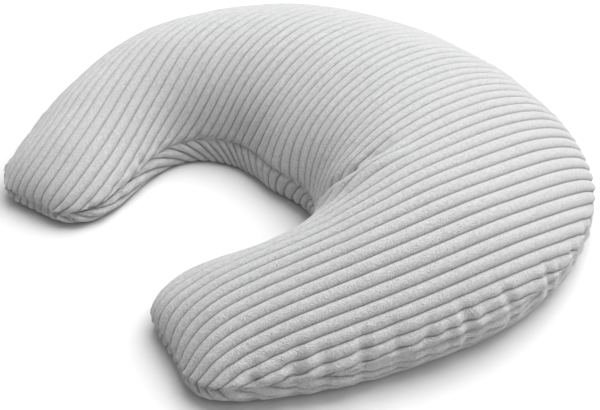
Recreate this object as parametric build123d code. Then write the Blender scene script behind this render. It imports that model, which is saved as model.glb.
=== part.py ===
from build123d import *
from math import cos, degrees, pi, radians, sin
import os

# A C-shaped nursing pillow lying on its flat side: a zipped rib-plush cover over a
# stuffed inner case. Millimetres. X runs across the two arms, the closed crown is at
# +Y, the mouth between the arms opens towards -Y, and +Z is up. The origin is on the
# surface the pillow lies on, at the middle of its bounding box.

# ---- Driving dimensions: the plan ---------------------------------------------------
HALF_LENGTH = 510.0                       # along the ridge line, crown middle to arm tip
STATIONS = (0.0, 0.20, 0.45, 0.70, 1.0)   # places along the half length
BEND_RADIUS = (212.0, 212.0, 169.0, 201.0, -148.0)   # of the ridge line at the stations
OUTER_WIDTH = (176.0, 176.0, 131.0, 83.0, 63.0)      # ridge line to outer seam
INNER_STATIONS = (0.0, 0.45, 0.70, 1.0)
INNER_WIDTH = (156.0, 122.0, 85.0, 65.0)             # ridge line to inner seam
TIP_LENGTH = 63.0                         # length over which an arm rounds off
TIP_OUTER = 0.50                          # share of the half width left at the very end
TIP_INNER = 0.43
TIP_SQUARENESS = 4                        # how late the half width narrows round the end
ARM_SECTIONS = 10                         # from the crown's middle to where the tip starts
TIP_ANGLES = (24, 43, 59, 72, 81, 87)     # of the sections round the tip, 90 at its end
BAND_PLACES = (0.30, 0.45, 0.58, 0.70, 0.85, 1.0)    # where the seam's height is followed

# ---- Driving dimensions: the heights ------------------------------------------------
SEAM_HEIGHT = (27.0, 27.0, 27.0, 24.0, 18.0)         # perimeter seam above the surface
TOP_RISE = (102.0, 102.0, 94.0, 70.0, 31.0)          # ridge above the seam
BOTTOM_CORNER = 11.0                      # how far the lower edge rounds in
FLAT_CUT = 1.0                            # depth shaved off to leave a true resting face
TIP_POWER = 2.46                          # superellipse power of the arm's end
TOP_POWER = 1.47                          # superellipse power of the top's section
RIDGE_LEAN = 0.07                         # how far the ridge leans to the inner side
TOP_POINTS = 13                           # across the top of a section
EDGE_POINTS = 4                           # round a lower edge
TIP_DEPTH_POWER = 0.4                     # how late the underside rises round the tip

# ---- Driving dimensions: the layers, as insets from the outside ----------------------
COVER_INSIDE = 3.0
UNDER_COVER = (3.9, 4.7)                  # overlocked edge of the cover, and care label
CASE_OUTSIDE = 5.6
CASE_INSIDE = 6.4
UNDER_CASE = (7.3, 8.1)                   # overlocked edge of the inner case
FILLING_OUTSIDE = 9.0
BINDING_HALF_HEIGHT = 2.5

# ---- Driving dimensions: the zip ----------------------------------------------------
ZIP_HALF_ANGLE = 21.5                     # of the slot in the cover, about the crown centre
SLOT_HALF_HEIGHT = 7.0
TAPE_HALF_ANGLE = 23.0
TAPE_THICKNESS = 0.6
TAPE_INSET = 4.0                          # tape's outer face under the cover
TAPE_REACH = 16.0                         # half the width of both tapes together
TAPE_FLAT = 5.5                           # flat half width behind the chain
TAPE_BENDS = (8.5, 11.0, 13.5)            # heights at which the tape follows the cover
STITCH_REACH = 12.0                       # thread line that sews each tape in
STITCH_WIDTH = 0.9
STITCH_THICKNESS = 0.3
STITCH_GAP = 0.15
CHAIN_DEPTH = 6.0                         # tape mid-plane inside the seam, at the chain
CHAIN_GAP = 0.65                          # half the gap between the two halves
COIL_REACH = 3.0
COIL_THICKNESS = 2.0
RUNNING_CLEARANCE = 0.3
PLATE = 0.9                               # slider's sheet thickness
SLIDER_LENGTH = 10.0
SLIDER_WALL = 1.0
SLIDER_REST = -18.6                       # degrees from the crown's middle, zip closed
STOP_LENGTH = 2.0
BOTTOM_STOP_ANGLE = 18.6                  # leaves the open slider's tab room in the slot
NECK_LENGTH = 2.4
LEG_THICKNESS = 1.0                       # of the bridge over the tab's pin
BINDING_CLEARANCE = 0.5                   # degrees from the tapes' ends to the seam edges
RELIEF_DEPTH = 10.0                       # hollow pressed into the case behind the chain
RELIEF_HALF_HEIGHT = 8.0

# ---- Driving dimensions: the pull tab -----------------------------------------------
PIN_RADIUS = 0.5
BRIDGE_WIDTH = 1.6
BRIDGE_THICKNESS = 0.8
TAB_LENGTH = 21.0
TAB_WIDTH = 5.4
TAB_THICKNESS = 1.0
TAB_ARM = 1.0
TAB_WINDOW = 4.6                          # from the pin to the tab's solid paddle

LABEL_ANGLE = (31.0, 37.0)                # care label's place past the zip
LABEL_HEIGHT = (4.0, 34.0)                # above the seam

CROWN_RADIUS = BEND_RADIUS[0]
SEAM_RADIUS = CROWN_RADIUS + OUTER_WIDTH[0]
CHAIN_RADIUS = SEAM_RADIUS - CHAIN_DEPTH
CROWN_SEAM = SEAM_HEIGHT[0]
OUT_OF_REACH = 600.0


# ---- Shape of the pillow -------------------------------------------------------------
def blend(place, stations, values):
    """Smooth value at a place along the half length, level at the crown's middle."""
    spans = [b - a for a, b in zip(stations, stations[1:])]
    rises = [(b - a) / span for a, b, span in zip(values, values[1:], spans)]
    slopes = [0.0]
    for i in range(1, len(spans)):
        if rises[i - 1] * rises[i] <= 0:
            slopes.append(0.0)
            continue
        near = 2 * spans[i] + spans[i - 1]
        far = spans[i] + 2 * spans[i - 1]
        slopes.append((near + far) / (near / rises[i - 1] + far / rises[i]))
    slopes.append(rises[-1])
    i = max(k for k in range(len(spans)) if k == 0 or stations[k] <= place)
    t = (place - stations[i]) / spans[i]
    return (
        (1 + 2 * t) * (1 - t) ** 2 * values[i]
        + t * (1 - t) ** 2 * spans[i] * slopes[i]
        + t * t * (3 - 2 * t) * values[i + 1]
        + t * t * (t - 1) * spans[i] * slopes[i + 1]
    )


def trace_ridge_line(steps=400):
    """Points and headings of the ridge line, from the crown's middle to the right tip."""
    bends = [1 / radius for radius in BEND_RADIUS]
    step = HALF_LENGTH / steps
    x = y = heading = 0.0
    line = [(x, y, heading)]
    for i in range(steps):
        turn = blend((i + 0.5) / steps, STATIONS, bends) * step
        x += step * cos(heading - turn / 2)
        y += step * sin(heading - turn / 2)
        heading -= turn
        line.append((x, y, heading))
    return line


RIDGE_LINE = trace_ridge_line()


def ridge_point(along):
    """Plan position and heading at a signed length along the ridge line."""
    steps = len(RIDGE_LINE) - 1
    at = min(abs(along) / HALF_LENGTH, 1.0) * steps
    i = min(int(at), steps - 1)
    share = at - i
    x, y, heading = (a + (b - a) * share for a, b in zip(RIDGE_LINE[i], RIDGE_LINE[i + 1]))
    return (x, y, heading) if along >= 0 else (-x, y, -heading)


def half_widths(along, tip, inset=0.0):
    """Outer and inner half width; tip is 0 on the arm and pi/2 at its very end."""
    place = abs(along) / HALF_LENGTH
    narrowing = sin(tip) ** TIP_SQUARENESS
    outer = blend(place, STATIONS, OUTER_WIDTH) - inset
    inner = blend(place, INNER_STATIONS, INNER_WIDTH) - inset
    return (
        outer * (1 - (1 - TIP_OUTER) * narrowing),
        inner * (1 - (1 - TIP_INNER) * narrowing),
    )


def section_rows(inset):
    """Signed length along the ridge line and tip angle of each section."""
    straight = HALF_LENGTH - TIP_LENGTH - inset
    rows = [(straight * i / (ARM_SECTIONS - 1), 0.0) for i in range(ARM_SECTIONS)]
    for angle in TIP_ANGLES:
        tip = radians(angle)
        rows.append((straight + TIP_LENGTH * sin(tip) ** (2 / TIP_POWER), tip))
    return [(-along, tip) for along, tip in rows[:0:-1]] + rows


def section(along, tip, inset):
    """Closed wire across the pillow: domed top, rounded lower edges, flat underside."""
    place = abs(along) / HALF_LENGTH
    x, y, heading = ridge_point(along)
    outer, inner = half_widths(along, tip, inset)
    seam = blend(place, STATIONS, SEAM_HEIGHT)
    rise = (blend(place, STATIONS, TOP_RISE) - inset) * cos(tip) ** (2 / TIP_POWER)
    depth = (seam - inset + FLAT_CUT) * cos(tip) ** TIP_DEPTH_POWER

    def point(offset, height):
        return Vector(x - sin(heading) * offset, y + cos(heading) * offset, height)

    top = []
    for i in range(TOP_POINTS):
        angle = -pi / 2 + pi * i / (TOP_POINTS - 1)
        share = sin(angle) - RIDGE_LEAN * cos(angle) ** 2
        lift = abs(cos(angle)) ** (2 / TOP_POWER)
        top.append(point(share * (outer if share > 0 else inner), seam + rise * lift))
    corner = min(BOTTOM_CORNER, depth)

    def lower_edge(half, side):
        turns = [pi / 2 * i / (EDGE_POINTS - 1) for i in range(EDGE_POINTS)]
        return [
            point(side * (half - corner * (1 - cos(turn))), seam - depth * sin(turn))
            for turn in turns
        ]

    outside = lower_edge(outer, 1)
    inside = lower_edge(inner, -1)
    return Wire(
        [
            Edge.make_spline([inside[0]] + top[1:-1] + [outside[0]]),
            Edge.make_spline(outside),
            Edge.make_line(outside[-1], inside[-1]),
            Edge.make_spline(inside[::-1]),
        ]
    )


def pillow_solid(inset):
    """The whole pillow's shape, inset all over by a layer's depth."""
    body = Solid.make_loft([section(along, tip, inset) for along, tip in section_rows(inset)])
    return body - below(inset)


def layer(insets):
    """Closed shell between two insets."""
    outside, inside = insets
    return pillow_solid(outside) - pillow_solid(inside)


def below(height):
    """Everything under a level plane."""
    size = OUT_OF_REACH
    return Pos(0, 0, height - size / 2) * Box(4 * size, 4 * size, size)


def seam_band(low, high):
    """Space between two heights counted from the perimeter seam, right across."""
    line = [
        (ridge_point(place * HALF_LENGTH)[1], blend(place, STATIONS, SEAM_HEIGHT))
        for place in BAND_PLACES
    ]
    line = [(OUT_OF_REACH, CROWN_SEAM)] + line + [(line[-1][0] - OUT_OF_REACH, line[-1][1])]
    upper = [(y, z + high) for y, z in line]
    lower = [(y, z + low) for y, z in line[::-1]]
    profile = make_face(Polyline(*(upper + lower), close=True))
    return extrude(Plane.YZ.offset(-OUT_OF_REACH) * profile, 2 * OUT_OF_REACH)


# ---- Rings about the crown centre ----------------------------------------------------
def ring(profile, start, end):
    """Turn a (radius, height over the crown seam) outline about the crown centre.

    Angles are in degrees from the crown's middle, positive towards -X."""
    points = [(radius, 0, CROWN_SEAM + height) for radius, height in profile]
    face = Face(Wire.make_polygon([Vector(*point) for point in points], close=True))
    turned = face.rotate(Axis.Z, 90 + start)
    return Pos(0, -CROWN_RADIUS, 0) * Solid.revolve(turned, end - start, Axis.Z)


def ring_block(inner, outer, low, high, start, end):
    return ring([(inner, low), (outer, low), (outer, high), (inner, high)], start, end)


def on_chain(angle, radius=0.0, height=0.0):
    """A point at an angle along the zip, radius counted from the chain's mid-plane."""
    turn = radians(90 + angle)
    reach = CHAIN_RADIUS + radius
    return Vector(reach * cos(turn), reach * sin(turn) - CROWN_RADIUS, CROWN_SEAM + height)


def arc_angle(length):
    return degrees(length / CHAIN_RADIUS)


def wall_radius(height, inset):
    """Radius of the crown's wall near the seam, at a height over it."""
    if height >= 0:
        share = (height / (TOP_RISE[0] - inset)) ** (TOP_POWER / 2)
        cosine = min(share, 1.0)
        width = (1 - cosine**2) ** 0.5 - RIDGE_LEAN * cosine**2
        return CROWN_RADIUS + (OUTER_WIDTH[0] - inset) * width
    share = -height / (CROWN_SEAM - inset + FLAT_CUT)
    return SEAM_RADIUS - inset - BOTTOM_CORNER * (1 - (1 - share**2) ** 0.5)


# ---- The cover -----------------------------------------------------------------------
def make_cover():
    shell = layer((0.0, COVER_INSIDE))
    slot = ring_block(
        SEAM_RADIUS - 3 * CHAIN_DEPTH, SEAM_RADIUS + CHAIN_DEPTH,
        -SLOT_HALF_HEIGHT, SLOT_HALF_HEIGHT, -ZIP_HALF_ANGLE, ZIP_HALF_ANGLE,
    )
    shell = shell - slot
    upper = shell & seam_band(0, OUT_OF_REACH)
    lower = shell & seam_band(-OUT_OF_REACH, 0)
    return upper, lower


def make_seam_edge(tube):
    """Overlocked seam allowance: a band of a thin shell, stopping short of the zip tapes."""
    end = TAPE_HALF_ANGLE + BINDING_CLEARANCE
    zip_space = ring_block(
        SEAM_RADIUS / 2, SEAM_RADIUS + CHAIN_DEPTH, -2 * TAPE_REACH, 2 * TAPE_REACH, -end, end
    )
    return (tube & seam_band(-BINDING_HALF_HEIGHT, BINDING_HALF_HEIGHT)) - zip_space


def make_care_label(tube):
    """Blank label hanging inside the cover, past the zip."""
    return tube & ring_block(
        CROWN_RADIUS, SEAM_RADIUS + CHAIN_DEPTH, *LABEL_HEIGHT, *LABEL_ANGLE
    )


# ---- The inner case and its filling --------------------------------------------------
def with_relief(body, margin):
    """Press the hollow behind the zip into a layer of the insert."""
    hollow = ring_block(
        SEAM_RADIUS - RELIEF_DEPTH - margin, SEAM_RADIUS + CHAIN_DEPTH,
        -RELIEF_HALF_HEIGHT - margin, RELIEF_HALF_HEIGHT + margin,
        -TAPE_HALF_ANGLE - arc_angle(margin), TAPE_HALF_ANGLE + arc_angle(margin),
    )
    return body - hollow


def make_inner_case():
    thickness = CASE_INSIDE - CASE_OUTSIDE
    shell = with_relief(pillow_solid(CASE_OUTSIDE), 0) - with_relief(
        pillow_solid(CASE_INSIDE), thickness
    )
    return shell & seam_band(0, OUT_OF_REACH), shell & seam_band(-OUT_OF_REACH, 0)


def make_filling():
    return with_relief(pillow_solid(FILLING_OUTSIDE), FILLING_OUTSIDE - CASE_OUTSIDE)


# ---- The zip -------------------------------------------------------------------------
def make_tape(side):
    """Woven tape: flat at the chain, then following the inside of the cover."""
    outer_face = [(CHAIN_RADIUS + TAPE_THICKNESS / 2, side * CHAIN_GAP)]
    outer_face.append((CHAIN_RADIUS + TAPE_THICKNESS / 2, side * TAPE_FLAT))
    for reach in TAPE_BENDS + (TAPE_REACH,):
        outer_face.append((wall_radius(side * reach, TAPE_INSET), side * reach))
    inner_face = [(radius - TAPE_THICKNESS, height) for radius, height in outer_face[::-1]]
    return ring(outer_face + inner_face, -TAPE_HALF_ANGLE, TAPE_HALF_ANGLE)


def make_coil(side):
    """Nylon coil's envelope, from inside the closed slider to the bottom stop."""
    base = CHAIN_RADIUS + TAPE_THICKNESS / 2
    low, high = sorted((side * CHAIN_GAP, side * COIL_REACH))
    end = BOTTOM_STOP_ANGLE - arc_angle(STOP_LENGTH / 2)
    return ring_block(base, base + COIL_THICKNESS, low, high, SLIDER_REST, end)


def make_tape_stitching():
    """Thread line that sews each tape to the cover's edge."""
    lines = []
    for side in (-1, 1):
        reaches = (STITCH_REACH - STITCH_WIDTH / 2, STITCH_REACH + STITCH_WIDTH / 2)
        tape_face = [(wall_radius(side * reach, TAPE_INSET), side * reach) for reach in reaches]
        low = [(radius + STITCH_GAP, height) for radius, height in tape_face]
        high = [(radius + STITCH_THICKNESS, height) for radius, height in low[::-1]]
        lines.append(ring(low + high, -ZIP_HALF_ANGLE, ZIP_HALF_ANGLE))
    return Compound(lines)


def make_top_stops():
    """A metal clip on each tape, just past the closed slider's mouth."""
    base = CHAIN_RADIUS + TAPE_THICKNESS / 2
    start = SLIDER_REST - arc_angle(SLIDER_LENGTH / 2 + RUNNING_CLEARANCE + STOP_LENGTH)
    clips = []
    for side in (-1, 1):
        low, high = sorted((side * CHAIN_GAP, side * COIL_REACH))
        clips.append(
            ring_block(
                base, base + COIL_THICKNESS, low, high, start, start + arc_angle(STOP_LENGTH)
            )
        )
    return Compound(clips)


def make_bottom_stop():
    """One metal clip across both coils, where the zip stays joined."""
    base = CHAIN_RADIUS + TAPE_THICKNESS / 2
    start = BOTTOM_STOP_ANGLE - arc_angle(STOP_LENGTH / 2)
    return ring_block(
        base, base + COIL_THICKNESS, -COIL_REACH, COIL_REACH, start,
        start + arc_angle(STOP_LENGTH),
    )


def slider_levels():
    """Radii, from the chain's mid-plane, of the slider's plates."""
    half_tape = TAPE_THICKNESS / 2
    inner_top = -half_tape - RUNNING_CLEARANCE
    outer_base = half_tape + COIL_THICKNESS + RUNNING_CLEARANCE
    return inner_top - PLATE, inner_top, outer_base, outer_base + PLATE


def pin_level():
    return slider_levels()[3] + RUNNING_CLEARANCE + PIN_RADIUS


def make_slider():
    """Two plates joined by a neck at the mouth, side walls, and a bridge for the tab."""
    inner_low, inner_top, outer_base, outer_top = slider_levels()
    half_width = COIL_REACH + RUNNING_CLEARANCE + SLIDER_WALL
    half_turn = arc_angle(SLIDER_LENGTH / 2)
    start, end = SLIDER_REST - half_turn, SLIDER_REST + half_turn

    def block(low, high, bottom, top, first=start, last=end):
        return ring_block(CHAIN_RADIUS + low, CHAIN_RADIUS + high, bottom, top, first, last)

    body = block(inner_low, inner_top, -half_width, half_width)
    body += block(outer_base, outer_top, -half_width, half_width)
    wall_base = TAPE_THICKNESS / 2 + RUNNING_CLEARANCE
    for side in (-1, 1):
        bottom, top = sorted((side * (half_width - SLIDER_WALL), side * half_width))
        body += block(wall_base, outer_base, bottom, top)
    neck_half = CHAIN_GAP - RUNNING_CLEARANCE
    neck_end = start + arc_angle(NECK_LENGTH)
    body += block(inner_top, outer_base, -neck_half, neck_half, start, neck_end)

    leg_inner = arc_angle(PIN_RADIUS + RUNNING_CLEARANCE)
    leg_outer = leg_inner + arc_angle(LEG_THICKNESS)
    bridge_base = pin_level() + PIN_RADIUS + RUNNING_CLEARANCE
    half_bridge = BRIDGE_WIDTH / 2
    top = bridge_base + BRIDGE_THICKNESS
    for side in (-1, 1):
        first, last = sorted((side * leg_inner, side * leg_outer))
        body += block(
            outer_top, bridge_base, -half_bridge, half_bridge,
            SLIDER_REST + first, SLIDER_REST + last,
        )
    body += block(
        bridge_base, top, -half_bridge, half_bridge,
        SLIDER_REST - leg_outer, SLIDER_REST + leg_outer,
    )
    return body


def make_pull_tab():
    """Cross pin under the bridge, two arms past it and a rounded paddle."""
    turn = 90 + SLIDER_REST
    centre = on_chain(SLIDER_REST, pin_level())
    outward = (cos(radians(turn)), sin(radians(turn)), 0)
    frame = Plane(origin=centre, x_dir=(0, 0, -1), z_dir=outward)
    pin = Cylinder(PIN_RADIUS, TAB_WIDTH, rotation=(0, 90, 0))
    paddle_length = TAB_LENGTH - TAB_WINDOW
    paddle_middle = TAB_WINDOW + paddle_length / 2
    paddle = Pos(0, paddle_middle, 0) * Box(TAB_WIDTH, paddle_length, TAB_THICKNESS)
    far_corners = paddle.edges().filter_by(Axis.Z).group_by(Axis.Y)[-1]
    paddle = fillet(far_corners, TAB_WIDTH / 2 - 0.1)
    tab = pin + paddle
    for side in (-1, 1):
        across = side * (TAB_WIDTH - TAB_ARM) / 2
        tab += Pos(across, TAB_WINDOW / 2, 0) * Box(TAB_ARM, TAB_WINDOW, TAB_THICKNESS)
    return frame * tab


# ---- Assembly ------------------------------------------------------------------------
def plan_middle():
    """Y of the bounding box's middle, from the crown's back and the arm tips."""
    front = 0.0
    for along, tip in section_rows(0.0):
        x, y, heading = ridge_point(along)
        outer, inner = half_widths(along, tip)
        front = min(front, y + cos(heading) * outer, y - cos(heading) * inner)
    return (OUTER_WIDTH[0] + front) / 2


def make_parts():
    cover_top, cover_bottom = make_cover()
    under_cover = layer(UNDER_COVER)
    case_top, case_bottom = make_inner_case()
    return {
        "cover_top_panel": cover_top,
        "cover_bottom_panel": cover_bottom,
        "cover_seam_overlock": make_seam_edge(under_cover),
        "care_label": make_care_label(under_cover),
        "zip_tape_upper": make_tape(1),
        "zip_tape_lower": make_tape(-1),
        "zip_coil_upper": make_coil(1),
        "zip_coil_lower": make_coil(-1),
        "zip_tape_stitching": make_tape_stitching(),
        "zip_top_stops": make_top_stops(),
        "zip_bottom_stop": make_bottom_stop(),
        "zip_slider_body": make_slider(),
        "zip_pull_tab": make_pull_tab(),
        "inner_case_top": case_top,
        "inner_case_bottom": case_bottom,
        "inner_case_seam_overlock": make_seam_edge(layer(UNDER_CASE)),
        "filling": make_filling(),
    }


def main():
    os.makedirs("parts", exist_ok=True)
    middle = plan_middle()
    shift = Pos(0, -middle, 0)
    for name, shape in make_parts().items():
        export_step(shift * shape, f"parts/{name}.step")
    pin = shift * Pos(on_chain(SLIDER_REST, pin_level()))
    print("crown centre", 0.0, round(-CROWN_RADIUS - middle, 4))
    print("pull tab pin", [round(value, 4) for value in pin.position])


main()
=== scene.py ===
import bmesh
import bpy
import math
import numpy as np
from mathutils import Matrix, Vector, geometry, noise


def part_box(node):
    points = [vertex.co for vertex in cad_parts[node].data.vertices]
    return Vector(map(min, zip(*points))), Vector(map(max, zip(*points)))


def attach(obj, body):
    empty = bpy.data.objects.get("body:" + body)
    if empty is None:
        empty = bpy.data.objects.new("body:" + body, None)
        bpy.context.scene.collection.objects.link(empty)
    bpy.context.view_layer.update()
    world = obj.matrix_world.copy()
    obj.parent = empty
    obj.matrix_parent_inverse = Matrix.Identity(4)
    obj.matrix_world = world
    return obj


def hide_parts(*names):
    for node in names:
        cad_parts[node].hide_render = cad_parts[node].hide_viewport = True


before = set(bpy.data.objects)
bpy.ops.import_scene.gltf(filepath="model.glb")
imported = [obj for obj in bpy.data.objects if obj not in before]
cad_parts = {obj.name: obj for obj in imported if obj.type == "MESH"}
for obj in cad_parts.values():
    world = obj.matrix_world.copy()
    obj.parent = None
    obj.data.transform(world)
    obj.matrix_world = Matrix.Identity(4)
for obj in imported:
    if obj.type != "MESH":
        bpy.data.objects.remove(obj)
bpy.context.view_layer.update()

# ---- Shape of the pillow, in metres: the CAD's, but for the waist, arms and lower edge --
HALF_LENGTH = 0.510
STATIONS = (0.0, 0.20, 0.45, 0.70, 1.0)
BEND_RADIUS = (0.212, 0.212, 0.169, 0.201, -0.148)
OUTER_WIDTH = (0.176, 0.176, 0.131, 0.083, 0.063)
INNER_STATIONS = (0.0, 0.45, 0.70, 1.0)
INNER_WIDTH = (0.163, 0.126, 0.087, 0.065)
INNER_LIFT = (0.008, 0.006, 0.005, 0.0)     # the seam lies higher round the waist
INNER_BULGE = (0.008, 0.002, 0.000, 0.0), (0.008, 0.014, 0.012, 0.005)  # right arm, left arm
OUTER_FULLNESS = 0.015, -0.001              # added near the tip: right arm, left arm
SEAM_HEIGHT = (0.027, 0.027, 0.027, 0.024, 0.018)
TOP_RISE = (0.102, 0.102, 0.094, 0.070, 0.031)
TIP_LENGTH = 0.063
TIP_OUTER, TIP_INNER = 0.64, 0.43
TIP_POWER, TOP_POWER = 2.60, 1.47
RIDGE_LEAN = 0.07
CORNER_STATIONS = (0.0, 0.36, 0.56, 1.0)
OUTER_CORNER, INNER_CORNER = (0.012, 0.012, 0.023, 0.018), 0.020
OUTER_LIFT = (0.0, 0.0, 0.009, 0.003)       # the seam lies higher along the arms
RIDGE_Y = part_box("cover_bottom_panel")[1][1] - OUTER_WIDTH[0]
CROWN = Vector((0.0, RIDGE_Y - BEND_RADIUS[0], SEAM_HEIGHT[0]))
SEAM_RADIUS = BEND_RADIUS[0] + OUTER_WIDTH[0]
CASE_INSET, FILLING_INSET = 0.0056, 0.0092

# ---- The zip ---------------------------------------------------------------------------
ZIP_HALF_ANGLE = math.radians(21.5)
SLOT_HALF_HEIGHT = 0.007
SLOT_TAPER = 0.010
CHAIN_RADIUS = SEAM_RADIUS - 0.006
COIL_PITCH = 0.0018
LOOP_STEP = 0.0008
COIL_WIRE = 0.00042
LOOP_CENTRE = 0.00172            # height of a loop's middle above the chain's
LOOP_WIDE, LOOP_HIGH, LOOP_LEAN = 0.0009, 0.00056, 0.0002
HEM_DEPTH = 0.0030

# ---- The flat cloth pattern and its ribs ------------------------------------------------
CUT_STATIONS = STATIONS
CUT_RADIUS = (0.240, 0.240, 0.256, 0.278, -2.0)
RIB_PITCH = 0.0124
RIB_TURN = math.radians(3.8)
RIB_DEPTH = 0.0034
RIB_LINES = (0.0, 0.035, 0.10, 0.22, 0.40, 0.60, 0.78, 0.90, 0.965)
ALONG_STEP = 0.0030
EDGE_STEP = 0.0020
STRETCH = 5.0          # evens out the triangles, which are longer along a rib

# ---- How the cloth lies ----------------------------------------------------------------
SEAM_VALLEY = 0.0045   # half width of the furrow at the seam
SEAM_SINK = 0.0030
SEAM_FADE_TOP, SEAM_FADE_BOTTOM = 0.65, 0.3    # how much shallower the grooves get there
BEAD_HEIGHT, BEAD_PLACE, BEAD_WIDTH = 0.0008, 0.0062, 0.0028    # rib ends puffing out
STITCH_PITCH = 0.0085
PUCKER_WIDTH = 0.0048
PUCKER_GAIN = 1.05
# Length along the seam from the crown's middle, reach over the cloth, depth, slant.
OUTER_PUCKERS = (
    (0.350, 0.026, 0.0026, 0.10),
    (0.396, 0.030, 0.0028, 0.20),
    (0.424, 0.026, 0.0012, -0.10),
    (0.447, 0.040, 0.0036, 0.15),
    (0.470, 0.030, 0.0011, 0.20),
    (0.500, 0.046, 0.0034, -0.10),
    (0.529, 0.032, 0.0012, 0.15),
    (0.550, 0.048, 0.0036, 0.05),
    (0.569, 0.034, 0.0012, 0.20),
    (0.592, 0.038, 0.0026, 0.30),
    (0.618, 0.046, 0.0026, 0.15),
    (0.650, 0.044, 0.0036, 0.20),
    (0.681, 0.044, 0.0028, 0.10),
    (0.708, 0.048, 0.0034, 0.25),
    (0.742, 0.040, 0.0026, 0.15),
    (-0.235, 0.022, 0.0018, -0.20),
    (-0.318, 0.030, 0.0026, 0.10),
    (-0.405, 0.036, 0.0030, -0.15),
    (-0.462, 0.028, 0.0024, 0.20),
    (-0.540, 0.040, 0.0034, -0.10),
    (-0.612, 0.030, 0.0022, 0.10),
    (-0.676, 0.034, 0.0030, -0.25),
)
INNER_PUCKERS = (
    (-0.262, 0.020, 0.0020, 0.30),
    (-0.226, 0.016, 0.0016, 0.10),
    (-0.184, 0.022, 0.0022, -0.20),
    (-0.150, 0.018, 0.0018, 0.10),
    (-0.105, 0.020, 0.0020, 0.20),
    (0.118, 0.020, 0.0020, -0.20),
    (0.160, 0.018, 0.0018, 0.15),
    (0.205, 0.022, 0.0020, -0.10),
    (0.250, 0.016, 0.0018, 0.20),
)
# The crease where the right arm leaves the crown: length along the cloth, and distance
# over the cloth from the inner seam.
FOLD = ((0.296, 0.012), (0.288, 0.050), (0.262, 0.090), (0.226, 0.118), (0.196, 0.136))
FOLD_DEPTH, FOLD_SLOPE, FOLD_LIP = 0.0090, 0.0100, 0.0045
FOLD_PINCH = 0.5        # how much deeper the grooves run into the fold
FOLD_POCKETS, FOLD_RIPPLE = 4.5, 0.15   # small hollows where the crown's ribs end in it
# Places where the filling pushes out: x, y, z, radius, amount.
SWELLS = (
    (0.104, -0.268, 0.020, 0.032, 0.0050),
    (-0.262, -0.060, 0.050, 0.080, 0.0025),
)
UNDULATION = ((17.0, 0.0013, 1), (46.0, 0.0003, 2))    # noise scale, height, seed
SIM_ROWS, SIM_TOP, SIM_BOTTOM = 2, 5, 6     # every how many rows and columns
SIM_ENDS = 3                                # rows left out at each tip, where they close up
SIM_FRAMES, SIM_CAP = 20, 0.0024
SIM_HOLD = 0.3                              # how firmly the cloth keeps the fitted shape
SMOOTHING, WRINKLE_GAIN = 30, 1.6


def blend(place, stations, values):
    """Smooth value at each place along the half length, level at the crown's middle."""
    stations, values = np.asarray(stations), np.asarray(values, float)
    spans = np.diff(stations)
    rises = np.diff(values) / spans
    slopes = np.zeros(len(values))
    for i in range(1, len(spans)):
        if rises[i - 1] * rises[i] > 0:
            near = 2 * spans[i] + spans[i - 1]
            far = spans[i] + 2 * spans[i - 1]
            slopes[i] = (near + far) / (near / rises[i - 1] + far / rises[i])
    slopes[-1] = rises[-1]
    i = np.clip(np.searchsorted(stations, place, side="right") - 1, 0, len(spans) - 1)
    t = (place - stations[i]) / spans[i]
    return (
        (1 + 2 * t) * (1 - t) ** 2 * values[i]
        + t * (1 - t) ** 2 * spans[i] * slopes[i]
        + t * t * (3 - 2 * t) * values[i + 1]
        + t * t * (t - 1) * spans[i] * slopes[i + 1]
    )


def trace(lengths, bends):
    """Plan points and unit headings of a line with these bends, level at its middle."""
    steps = np.diff(lengths)
    middle = len(lengths) // 2
    heading = np.concatenate([[0.0], np.cumsum((bends[1:] + bends[:-1]) / 2 * steps)])
    heading = -(heading - heading[middle])
    cosine, sine = np.cos(heading), np.sin(heading)
    x = np.concatenate([[0.0], np.cumsum((cosine[1:] + cosine[:-1]) / 2 * steps)])
    y = np.concatenate([[0.0], np.cumsum((sine[1:] + sine[:-1]) / 2 * steps)])
    return np.stack([x - x[middle], y - y[middle]], 1), np.stack([cosine, sine], 1)


def mirrored(values, sign=1):
    return np.concatenate([sign * values[:0:-1], values])


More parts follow.
